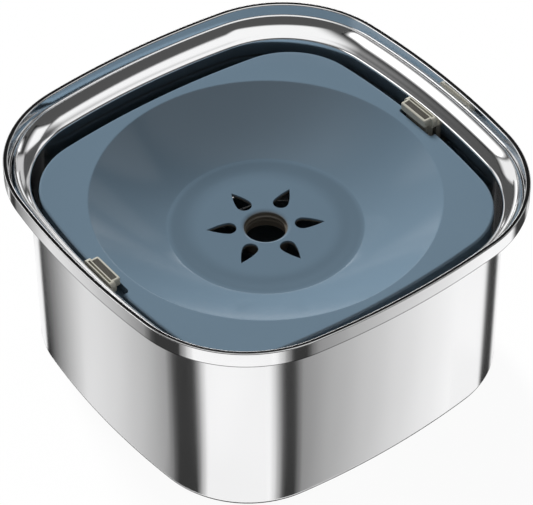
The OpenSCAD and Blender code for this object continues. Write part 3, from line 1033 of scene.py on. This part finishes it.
class PETBOWL_OT_clips(bpy.types.Operator):
    """Models the two sliding clips with their hooks and the grip pads let into them"""

    bl_idname = "pet_bowl.clips"
    bl_label = "Clips"

    def execute(self, context):
        s, clip = context.scene.float_sizes, context.scene.clip_sizes
        masters = (
            (self.clip(s, clip), "clip_{}", clip_finish(), "clip_plastic", "{}_clip"),
            (self.grip(clip), "clip_grip_{}", grip_finish(), "pad_rubber", "{}_clip_pad"))
        for side in ("right", "left"):
            for master, name, material, slot, node in masters:
                piece = copy_of(master, name.format(side))
                if side == "left":
                    flip(piece)
                smooth(piece)
                hand_in(piece, material, f"{side}_slider", node.format(side))
        for master in masters:
            bpy.data.objects.remove(master[0])
        return {"FINISHED"}

    def clip(self, s, clip):
        """The right clip: block, eared flange, leg and two hooks, with a recess and a groove on top."""
        half = clip.block_length / 2
        stem = s.half_x + 0.4 * MM
        back = stem + 1.6 * MM
        out, foot = CLIP[1].x, CLIP[0].z
        cap = s.top + clip.block_height
        top = cap + 0.1 * MM
        body = block("clip_master", (CLIP_FACE - 0.8 * MM, -half, s.top + 0.5 * MM), (back, half, cap))
        bevel(body, clip.corner, 5, lambda e: along(e, 2) and e.verts[0].co.x < stem)
        bevel(body, 0.9 * MM, 4, lambda e: sharp(e) and at_level(e, e.verts[0].co.z))
        post_foot = s.top - s.notch_depth + 0.4 * MM
        post = block("post", (CLIP_FACE + 1.8 * MM, -half + 2 * MM, post_foot),
                     (back, half - 2 * MM, s.top + 2 * MM))
        ears = self.flange(clip, stem + 0.4 * MM, out, top)
        leg = block("leg", (stem, -half + MM, foot), (out - 0.6 * MM, half - MM, s.top))
        combine(body, "UNION", post, ears, leg)
        hook = (clip.travel - 0.2 * MM) / 2
        tip = s.half_x - s.nest + 0.4 * MM
        for place in (-HOOK_PLACE, HOOK_PLACE):
            middle = place * clip.block_length
            combine(body, "UNION", block(
                "hook", (tip, middle - hook, foot), (stem + MM, middle + hook, foot + 2 * MM)))
        self.cut(body, s, clip, out, top)
        apply(body, "BEVEL", width=clip.softening, segments=3, limit_method="ANGLE",
              angle_limit=math.radians(50), harden_normals=False, use_clamp_overlap=True)
        return body

    def flange(self, clip, inner, out, top):
        """The upright outer flange with its rounded ears."""
        half = (CLIP[1].y - CLIP[0].y) / 2
        piece = block("ears", (inner, -half, top - clip.flange_height), (out, half, top))
        bevel(piece, clip.ear, 6, lambda e: along(e, 0))
        return piece

    def cut(self, body, s, clip, out, top):
        """The recess for the grip pad, the groove behind it and the slot that runs over the tray's rail."""
        half = clip.block_length / 2
        gap = 0.05 * MM
        level = s.top + clip.block_height
        wide = gap + clip.grip_more
        recess = block("recess", (GRIP[0].x - wide, GRIP[0].y - gap, level - clip.recess),
                       (GRIP[1].x + wide, GRIP[1].y + gap, level + 5 * MM))
        start = out - 0.7 * MM - clip.groove
        end = half - 0.6 * MM
        groove = block("groove", (start, -end, top - 2.2 * MM), (start + clip.groove, end, top + MM))
        low = s.top - s.notch_depth
        rail = block("rail_slot", (s.half_x - 2 * MM, -half - MM, low - MM),
                     (s.half_x - 0.2 * MM, half + MM, low + 1.4 * MM))
        combine(body, "DIFFERENCE", recess, groove, rail)

    def grip(self, clip):
        """The grip pad: a thin bar with fine ribs across it."""
        rib = 0.25 * MM
        top = GRIP[1].z + 1.35 * MM
        pad = block("grip_master", (GRIP[0].x - clip.grip_more, GRIP[0].y, GRIP[0].z),
                    (GRIP[1].x + clip.grip_more, GRIP[1].y, top - rib))
        edit(pad)
        pick(pad, "edges", lambda e: along(e, 1))
        bpy.ops.mesh.subdivide(number_cuts=2 * clip.ribs)
        pitch = (GRIP[1].y - GRIP[0].y) / (2 * clip.ribs + 1)
        pick(pad, "faces", lambda f: f.normal.z > UP
             and int((f.calc_center_median().y - GRIP[0].y) / pitch) % 2 == 1)
        bpy.ops.mesh.inset(thickness=0.08 * MM, use_individual=True)
        bpy.ops.mesh.extrude_region_move(TRANSFORM_OT_translate={"value": (0, 0, rib)})
        close_edit()
        return pad


class PETBOWL_OT_studio(bpy.types.Operator):
    """Sets up the floor, the backdrop light, the lamp, the cards and the camera"""

    bl_idname = "pet_bowl.studio"
    bl_label = "Studio"

    def execute(self, context):
        s = context.scene.studio
        context.scene.view_settings.view_transform = "Standard"
        self.sky(context.scene, s)
        self.floor(s)
        self.key(s, self.gap_flag(context.scene))
        self.camera(context.scene, s)
        self.overhead(s)
        self.walls()
        self.flags(context.scene)
        return {"FINISHED"}

    def seen(self, wire):
        """1 for rays from the camera, a mirror or glass, and 0 for those that light a surface."""
        kinds = ("Camera", "Glossy", "Transmission")
        rays = [wire.node("ShaderNodeLightPath", out=f"Is {kind} Ray") for kind in kinds]
        return wire.math("MINIMUM", rays[0] + rays[1] + rays[2], 1.0)

    def sky(self, scene, s):
        """An even pale light on the bowl, with a dark room in its mirror."""
        world = bpy.data.worlds.new("white_studio")
        world.use_nodes = True
        world.node_tree.nodes.clear()
        wire = Wire(world.node_tree)
        pale, dark = (wire.node("ShaderNodeBackground", {}, {"Color": WHITE, "Strength": tone})
                      for tone in (s.sky, s.surround))
        mixed = wire.node("ShaderNodeMixShader", {}, {0: self.seen(wire), 1: pale, 2: dark})
        wire.node("ShaderNodeOutputWorld", {}, {"Surface": mixed})
        scene.world = world

    def plane(self, name, size, **settings):
        """A flat square of the studio."""
        select_only(None)
        bpy.ops.mesh.primitive_plane_add(size=size, **settings)
        return named(name)

    def floor(self, s):
        """A pale floor that keeps the bowl's shadow and shows white beside it."""
        floor = self.plane("floor", 8)
        material, place = new_finish("pale_floor")
        matt = place.node("ShaderNodeBsdfDiffuse", {}, {"Color": (0.9, 0.9, 0.9, 1)})
        # In the steel the floor is dark, apart from a patch near the bowl on the camera's side.
        in_mirror = place.node("ShaderNodeLightPath", out="Is Glossy Ray")
        reach = place.vector("LENGTH")
        ahead = place.vector("DOT_PRODUCT", (math.sin(s.turn), math.cos(s.turn), 0))
        dim = place.math("MAXIMUM", reach.ramp(0.25, 0.36), ahead.ramp(0.06, 0.14))
        white = (1 - in_mirror * dim * (1 - DARK_CARD)).shine()
        share = self.seen(place) * s.floor_glow
        place.node("ShaderNodeMixShader", {}, {0: share, 1: matt, 2: white}).end()
        floor.data.materials.append(material)
        floor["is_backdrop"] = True

    def hide(self, card, *rays):
        """Hides a card from some kinds of rays."""
        for ray in rays:
            setattr(card, f"visible_{ray}", False)

    def gap_flag(self, scene):
        """A ring, never seen, that keeps the lamp out of the gap round the float and its notches."""
        s = scene.steel_bowl
        wall = s.half_width - s.wall_step
        level = scene.float_sizes.top - 1.4 * MM
        edge = wall - 0.3 * MM
        line = [(wall - 13 * MM, level), (edge, level), (edge, 0.2 * s.height)]
        ring = swept("gap_flag", line, bowl_path(s, 16, 24))
        material, place = new_finish("black_cloth")
        paint(place, {"Base Color": (0.01, 0.01, 0.01, 1), "Roughness": 0.9 + place.noise(500) * 0.1})
        ring.data.materials.append(material)
        self.hide(ring, "camera", "glossy", "diffuse", "transmission")
        ring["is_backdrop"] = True
        return ring

    def key(self, s, ring):
        """The key lamp: far away behind the bowl, with a soft edge, shining over the steel rim."""
        select_only(None)
        facing = (math.pi / 2 - s.key_lift, 0, s.key_turn + math.pi / 2)
        bpy.ops.object.light_add(type="SUN", rotation=facing)
        lamp = named("key_lamp")
        lamp.data.angle = math.radians(14)
        lamp.data.energy = s.key
        self.hide(lamp, "glossy")
        blockers = bpy.data.collections.new("key_blockers")
        blockers.objects.link(ring)
        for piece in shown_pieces():
            if body_of(piece) != ["bowl"]:
                blockers.objects.link(piece)
        lamp.light_linking.blocker_collection = blockers

    def mirror_only(self, card, name, tone_of):
        """Lets a card shine, by a function of its coordinates, where only steel and gloss can show it."""
        material, place = new_finish(name)
        tone_of(place).shine().end()
        card.data.materials.append(material)
        self.hide(card, "camera", "diffuse", "transmission", "shadow")
        card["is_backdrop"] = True

    def overhead(self, s):
        """The white panel overhead, which fades to the sides and ends before the far side."""
        card = self.plane("overhead_panel", 10, location=(0, 0, 1.3), rotation=(0, 0, -s.turn))

        def tone(place):
            side, far = place.axis(0), place.axis(1)
            across = side.ramp(-1.1, -0.4) * side.fall(0.85, 1.08)
            ahead = far.ramp(-0.85, -0.62) * far.fall(0.15, 0.6)
            return across * ahead * (1 - s.surround) + s.surround
        self.mirror_only(card, "panel_glow", tone)

    def walls(self):
        """Panels that stand a metre away round the bowl and draw the light lines along its edges."""
        for name, turn, half, low, high, bright, fade, rise in WALL_PANELS:
            around = math.radians(turn)
            spot = (math.cos(around), math.sin(around), (low + high) / 2)
            facing = (math.pi / 2, 0, around + math.pi / 2)
            card = self.plane(f"{name}_wall_panel", 1, location=spot, rotation=facing)
            size = (2 * math.tan(math.radians(half)), high - low, high - low)
            bpy.ops.transform.resize(value=size, orient_type="LOCAL")

            def tone(place, bright=bright, fade=fade, rise=rise):
                side, height = place.axis(0), place.axis(1)
                ends = side.ramp(-0.5, -0.3) * side.fall(0.3, 0.5)
                return height.ramp(-0.5, rise) * height.fall(fade, 0.5) * ends * bright
            self.mirror_only(card, f"{name}_wall_glow", tone)

    def flags(self, scene):
        """Dark cards on the floor, which draw the steel wall's upright bands, and a ring at its foot that
        paints the contact shadow into the steel's reflection.
        """
        for name, angles, start, end in FLOOR_FLAGS:
            self.flag(scene, f"flag_{name}", angles, start, end)
        s = scene.steel_bowl
        inner = s.half_width - s.wall_step - 3 * MM
        level = 0.5 * MM
        # A painted contact shadow: a dark ring at the wall's foot that only the steel shows.
        ring = swept("flag_foot", [(inner, level), (inner + 4.6 * MM, level)], bowl_path(s, 16, 24))
        self.mirror_only(ring, "foot_shade", lambda place: place.noise(30) * 0.04 + 0.02)

    def mirrored_spot(self, scene, degrees, height):
        """The point of the floor that the camera sees in the wall where its normal has this direction."""
        s = scene.steel_bowl
        outside = s.wall_step - s.sheet
        centre, radius = wall_arc(s, degrees)
        normal = Vector((math.cos(math.radians(degrees)), math.sin(math.radians(degrees)), 0))
        spot = Vector((*centre, height)) + normal * (radius - outside)
        ray = (spot - scene.camera.location).normalized()
        ray -= 2 * ray.dot(normal) * normal
        return spot - ray * (height / ray.z)

    def flag(self, scene, name, angles, start, end):
        """One card with a tone at either end, dark between the two inner angles."""
        first, dark_from, dark_to, last = angles
        span = last - first
        columns = 12
        select_only(None)
        bpy.ops.mesh.primitive_grid_add(x_subdivisions=columns, y_subdivisions=1, size=2)
        card = named(name)
        bpy.ops.object.mode_set(mode="EDIT")
        for share in (0, *spaced(columns)):
            for side, height in ((-1, 3 * MM), (1, 1.35 * scene.steel_bowl.height)):
                corner = Vector((2 * share - 1, side, 0))
                spot = self.mirrored_spot(scene, first + span * share, height)
                pick(card, "verts", lambda v: (v.co - corner).length < 0.01)
                bpy.ops.transform.translate(value=(spot.x - corner.x, spot.y - corner.y, 0.2 * MM))
        close_edit()

        def tone(place):
            across = place.node("ShaderNodeTexCoord", out="UV").axis(0)
            fall = across.ramp(0, (dark_from - first) / span)
            rise = across.ramp((dark_to - first) / span, 1, "LINEAR")
            return (1 - fall) * start + fall * (1 - rise) * DARK_CARD + rise * end
        self.mirror_only(card, f"{name}_tone", tone)

    def camera(self, scene, s):
        """The camera at the photograph's angle, aimed without any shift."""
        right = Vector((math.cos(s.turn), -math.sin(s.turn), 0))
        ahead = Vector((math.sin(s.turn), math.cos(s.turn), 0))
        up = ahead * math.sin(s.lift) + Vector((0, 0, math.cos(s.lift)))
        look = ahead * math.cos(s.lift) - Vector((0, 0, math.sin(s.lift)))
        aim = Vector((0, 0, s.aim_height)) + right * s.aim_right + up * s.aim_up
        select_only(None)
        bpy.ops.object.camera_add(location=aim - look * s.distance)
        camera = named("photo_camera")
        facing = Matrix((right, up, -look)).transposed().to_4x4()
        camera.rotation_euler = (facing @ Matrix.Rotation(-s.roll, 4, "Z")).to_euler()
        camera.data.lens = s.lens
        camera.data.sensor_fit = "HORIZONTAL"
        camera.data.sensor_width = 36
        scene.camera = camera


class PETBOWL_PT_panel(bpy.types.Panel):
    """Lists the pieces and their sizes in the sidebar"""

    bl_idname = "PETBOWL_PT_panel"
    bl_label = "Pet bowl"
    bl_space_type = "VIEW_3D"
    bl_region_type = "UI"
    bl_category = "Pet bowl"

    def draw(self, context):
        """Shows a button for each step and a box for each group of settings."""
        column = self.layout.column()
        for step in STEPS:
            column.operator(step.bl_idname)
        for name, group in GROUPS.items():
            box = self.layout.box()
            box.label(text=group.__doc__)
            for key in group.__annotations__:
                box.prop(getattr(context.scene, name), key)


GROUPS = {
    "steel_bowl": SteelBowlSizes,
    "float_sizes": FloatSizes,
    "clip_sizes": ClipSizes,
    "bowl_finishes": BowlFinishes,
    "studio": StudioSettings,
}
STEPS = (
    PETBOWL_OT_steel_bowl,
    PETBOWL_OT_feet,
    PETBOWL_OT_drinking_tray,
    PETBOWL_OT_lower_shell,
    PETBOWL_OT_seals,
    PETBOWL_OT_clips,
    PETBOWL_OT_studio,
)


def register():
    """Registers the settings, the steps and the panel."""
    for name, group in GROUPS.items():
        bpy.utils.register_class(group)
        setattr(bpy.types.Scene, name, PointerProperty(type=group))
    for step in (*STEPS, PETBOWL_PT_panel):
        bpy.utils.register_class(step)


def unregister():
    """Takes back what register did, in the opposite order."""
    for step in (PETBOWL_PT_panel, *reversed(STEPS)):
        bpy.utils.unregister_class(step)
    for name, group in reversed(GROUPS.items()):
        delattr(bpy.types.Scene, name)
        bpy.utils.unregister_class(group)


def main():
    """Registers the classes and models every piece in order."""
    register()
    for step in STEPS:
        category, name = step.bl_idname.split(".")
        getattr(getattr(bpy.ops, category), name)()


if __name__ == "__main__":
    main()
